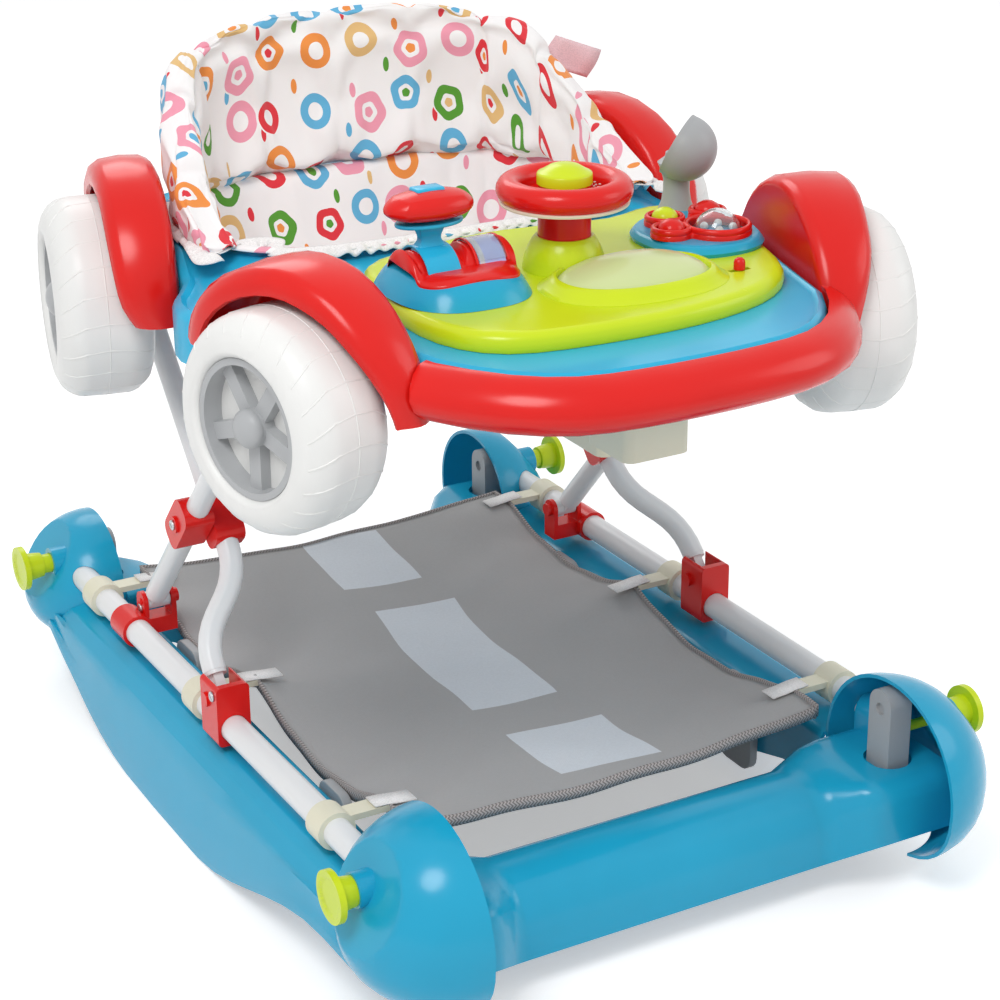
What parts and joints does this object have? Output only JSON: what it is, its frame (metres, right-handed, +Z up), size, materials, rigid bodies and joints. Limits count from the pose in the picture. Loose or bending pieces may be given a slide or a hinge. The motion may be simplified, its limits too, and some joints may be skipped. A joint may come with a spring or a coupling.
{
  "type": "baby walker",
  "caption": "Car-shaped baby walker that turns into a rocker: rocking base with stowed castors, scissor frame, padded sling seat and a play tray",
  "frame": {"origin": "on the floor, under the middle of the outline of the base", "axes": "X across, towards the right of somebody who sits in the seat facing forwards; Y from the front of the car to its back; Z up"},
  "size_m": [0.596, 0.8038, 0.6003],
  "materials": {
    "blue_plastic": "glossy moulded polypropylene",
    "castor_tread": "dark moulded tread",
    "clear_dome": "clear plastic",
    "cream_plastic": "satin moulded nylon",
    "grey_plastic": "satin moulded nylon",
    "lime_plastic": "glossy moulded polypropylene",
    "mat_cloth": "woven polyester with a ribbed binding",
    "milky_lens": "frosted translucent plastic",
    "picture": "printed picture under clear plastic",
    "red_plastic": "glossy moulded polypropylene",
    "seat_cloth": "printed cotton over wadding",
    "toy_tyre": "white blow-moulded plastic with a silver-grey rim",
    "white_tube": "white powder coat on steel tube"
  },
  "bodies": {
    "base": {"front_beam": "blue_plastic", "rear_beam": "blue_plastic", "rocker_left": "blue_plastic", "rocker_right": "blue_plastic", "front_domes": "blue_plastic", "rear_domes": "blue_plastic", "rail_tubes": "white_tube", "play_mat": "mat_cloth", "mat_clips": "cream_plastic", "rear_clamps": "red_plastic", "rocker_pads": "grey_plastic"},
    "rear_leg": {"rear_leg_frame": "white_tube", "crossing_outer": "red_plastic"},
    "front_leg": {"front_leg_frame": "white_tube", "crossing_inner": "red_plastic"},
    "sliders": {"slider_blocks": "red_plastic"},
    "castor_leg_fl": {"castor_leg_fl": "grey_plastic"},
    "castor_leg_fr": {"castor_leg_fr": "grey_plastic"},
    "castor_leg_rl": {"castor_leg_rl": "grey_plastic"},
    "castor_leg_rr": {"castor_leg_rr": "grey_plastic"},
    "castor_knob_fl": {"castor_knob_fl": "lime_plastic"},
    "castor_knob_fr": {"castor_knob_fr": "lime_plastic"},
    "castor_knob_rl": {"castor_knob_rl": "lime_plastic"},
    "castor_knob_rr": {"castor_knob_rr": "lime_plastic"},
    "castor_fork_fl": {"castor_fork_fl": "grey_plastic"},
    "castor_fork_fr": {"castor_fork_fr": "grey_plastic"},
    "castor_fork_rl": {"castor_fork_rl": "grey_plastic"},
    "castor_fork_rr": {"castor_fork_rr": "grey_plastic"},
    "castor_wheel_fl": {"castor_wheel_fl": "castor_tread"},
    "castor_wheel_fr": {"castor_wheel_fr": "castor_tread"},
    "castor_wheel_rl": {"castor_wheel_rl": "castor_tread"},
    "castor_wheel_rr": {"castor_wheel_rr": "castor_tread"},
    "toy_wheel_fl": {"toy_wheel_fl": "toy_tyre"},
    "toy_wheel_fr": {"toy_wheel_fr": "toy_tyre"},
    "toy_wheel_rl": {"toy_wheel_rl": "toy_tyre"},
    "toy_wheel_rr": {"toy_wheel_rr": "toy_tyre"},
    "gear_lever": {"gear_lever": "red_plastic"},
    "picture_drum": {"picture_drum": "picture"},
    "steering_wheel": {"steering_wheel": "red_plastic"},
    "horn_button": {"horn_button": "lime_plastic"},
    "cluster_button_lime": {"cluster_button_lime": "lime_plastic"},
    "cluster_button_back": {"cluster_button_back": "red_plastic"},
    "cluster_button_front": {"cluster_button_front": "red_plastic"},
    "mirror": {"mirror": "grey_plastic"},
    "power_switch": {"power_switch": "red_plastic"},
    "car": {"tray_shell": "blue_plastic", "bumper": "red_plastic", "front_fenders": "red_plastic", "rear_fenders": "red_plastic", "console": "lime_plastic", "height_adjuster": "cream_plastic", "gear_pod": "blue_plastic", "pod_cover": "red_plastic", "steering_column": "red_plastic", "music_lens": "milky_lens", "cluster_panel": "blue_plastic", "rattle_dome": "clear_dome", "seat_back": "seat_cloth", "seat_sling": "seat_cloth"}
  },
  "joints": [
    {"name": "fold", "type": "hinge", "parent": "base", "child": "rear_leg", "pos_m": [0, 0.176, 0.128], "axis": [1, 0, 0], "range_deg": [0, 26]},
    {"name": "scissor", "type": "hinge", "parent": "rear_leg", "child": "front_leg", "pos_m": [0, 0.078, 0.236], "axis": [1, 0, 0], "range_deg": [-52, 0]},
    {"name": "body_tilt", "type": "hinge", "parent": "front_leg", "child": "car", "pos_m": [0, 0.2054, 0.3764], "axis": [1, 0, 0], "range_deg": [0, 26]},
    {"name": "slider_tilt", "type": "hinge", "parent": "front_leg", "child": "sliders", "pos_m": [0, -0.02, 0.128], "axis": [1, 0, 0], "range_deg": [0, 26]},
    {"name": "castor_leg_fl_slide", "type": "slide", "parent": "base", "child": "castor_leg_fl", "axis": [0, 0, -1], "range_m": [0, 0.03]},
    {"name": "castor_knob_fl_pull", "type": "slide", "parent": "base", "child": "castor_knob_fl", "axis": [-1, 0, 0], "range_m": [0, 0.008], "stiffness_N_per_m": 400, "springref_m": -0.003},
    {"name": "castor_fork_fl_swivel", "type": "hinge", "parent": "castor_leg_fl", "child": "castor_fork_fl", "pos_m": [-0.2, -0.316, 0.08], "axis": [0, 0, 1], "continuous": true},
    {"name": "castor_wheel_fl_roll", "type": "hinge", "parent": "castor_fork_fl", "child": "castor_wheel_fl", "pos_m": [-0.2, -0.304, 0.041], "axis": [1, 0, 0], "continuous": true},
    {"name": "toy_wheel_fl_roll", "type": "hinge", "parent": "car", "child": "toy_wheel_fl", "pos_m": [-0.236, -0.183, 0.415], "axis": [-0.9659, -0.2588, 0], "continuous": true},
    {"name": "castor_leg_fr_slide", "type": "slide", "parent": "base", "child": "castor_leg_fr", "axis": [0, 0, -1], "range_m": [0, 0.03]},
    {"name": "castor_knob_fr_pull", "type": "slide", "parent": "base", "child": "castor_knob_fr", "axis": [1, 0, 0], "range_m": [0, 0.008], "stiffness_N_per_m": 400, "springref_m": -0.003},
    {"name": "castor_fork_fr_swivel", "type": "hinge", "parent": "castor_leg_fr", "child": "castor_fork_fr", "pos_m": [0.2, -0.316, 0.08], "axis": [0, 0, 1], "continuous": true},
    {"name": "castor_wheel_fr_roll", "type": "hinge", "parent": "castor_fork_fr", "child": "castor_wheel_fr", "pos_m": [0.2, -0.304, 0.041], "axis": [1, 0, 0], "continuous": true},
    {"name": "toy_wheel_fr_roll", "type": "hinge", "parent": "car", "child": "toy_wheel_fr", "pos_m": [0.236, -0.183, 0.415], "axis": [0.9659, -0.2588, 0], "continuous": true},
    {"name": "castor_leg_rl_slide", "type": "slide", "parent": "base", "child": "castor_leg_rl", "axis": [0, 0, -1], "range_m": [0, 0.03]},
    {"name": "castor_knob_rl_pull", "type": "slide", "parent": "base", "child": "castor_knob_rl", "axis": [-1, 0, 0], "range_m": [0, 0.008], "stiffness_N_per_m": 400, "springref_m": -0.003},
    {"name": "castor_fork_rl_swivel", "type": "hinge", "parent": "castor_leg_rl", "child": "castor_fork_rl", "pos_m": [-0.2, 0.316, 0.08], "axis": [0, 0, 1], "continuous": true},
    {"name": "castor_wheel_rl_roll", "type": "hinge", "parent": "castor_fork_rl", "child": "castor_wheel_rl", "pos_m": [-0.2, 0.328, 0.041], "axis": [1, 0, 0], "continuous": true},
    {"name": "toy_wheel_rl_roll", "type": "hinge", "parent": "car", "child": "toy_wheel_rl", "pos_m": [-0.248, 0.145, 0.415], "axis": [-0.9744, 0.225, 0], "continuous": true},
    {"name": "castor_leg_rr_slide", "type": "slide", "parent": "base", "child": "castor_leg_rr", "axis": [0, 0, -1], "range_m": [0, 0.03]},
    {"name": "castor_knob_rr_pull", "type": "slide", "parent": "base", "child": "castor_knob_rr", "axis": [1, 0, 0], "range_m": [0, 0.008], "stiffness_N_per_m": 400, "springref_m": -0.003},
    {"name": "castor_fork_rr_swivel", "type": "hinge", "parent": "castor_leg_rr", "child": "castor_fork_rr", "pos_m": [0.2, 0.316, 0.08], "axis": [0, 0, 1], "continuous": true},
    {"name": "castor_wheel_rr_roll", "type": "hinge", "parent": "castor_fork_rr", "child": "castor_wheel_rr", "pos_m": [0.2, 0.328, 0.041], "axis": [1, 0, 0], "continuous": true},
    {"name": "toy_wheel_rr_roll", "type": "hinge", "parent": "car", "child": "toy_wheel_rr", "pos_m": [0.248, 0.145, 0.415], "axis": [0.9744, 0.225, 0], "continuous": true},
    {"name": "gear_lever_tilt", "type": "hinge", "parent": "car", "child": "gear_lever", "pos_m": [-0.106, -0.154, 0.4853], "axis": [1, 0, 0], "range_deg": [-14, 14]},
    {"name": "picture_drum_turn", "type": "hinge", "parent": "car", "child": "picture_drum", "pos_m": [-0.066, -0.154, 0.4878], "axis": [1, 0, 0], "range_deg": [-42, 42]},
    {"name": "steering_wheel_turn", "type": "hinge", "parent": "car", "child": "steering_wheel", "pos_m": [0.007, -0.15, 0.535], "axis": [0, 0, 1], "range_deg": [-180, 180]},
    {"name": "horn_press", "type": "slide", "parent": "steering_wheel", "child": "horn_button", "axis": [0, 0, -1], "range_m": [0, 0.003], "stiffness_N_per_m": 250, "springref_m": -0.001},
    {"name": "cluster_button_lime_press", "type": "slide", "parent": "car", "child": "cluster_button_lime", "axis": [0, 0, -1], "range_m": [0, 0.003], "stiffness_N_per_m": 200, "springref_m": -0.001},
    {"name": "cluster_button_back_press", "type": "slide", "parent": "car", "child": "cluster_button_back", "axis": [0, 0, -1], "range_m": [0, 0.003], "stiffness_N_per_m": 200, "springref_m": -0.001},
    {"name": "cluster_button_front_press", "type": "slide", "parent": "car", "child": "cluster_button_front", "axis": [0, 0, -1], "range_m": [0, 0.003], "stiffness_N_per_m": 200, "springref_m": -0.001},
    {"name": "mirror_swivel", "type": "hinge", "parent": "car", "child": "mirror", "pos_m": [0.157, -0.07, 0.48], "axis": [0, 0, 1], "range_deg": [-60, 60]},
    {"name": "power_switch_slide", "type": "slide", "parent": "car", "child": "power_switch", "axis": [1, 0, 0], "range_m": [-0.005, 0.005]}
  ],
  "couplings": [
    {"joint": "scissor", "follows": "fold", "ratio": -2},
    {"joint": "body_tilt", "follows": "fold", "ratio": 1},
    {"joint": "slider_tilt", "follows": "fold", "ratio": 1},
    {"joint": "picture_drum_turn", "follows": "gear_lever_tilt", "ratio": 3}
  ]
}
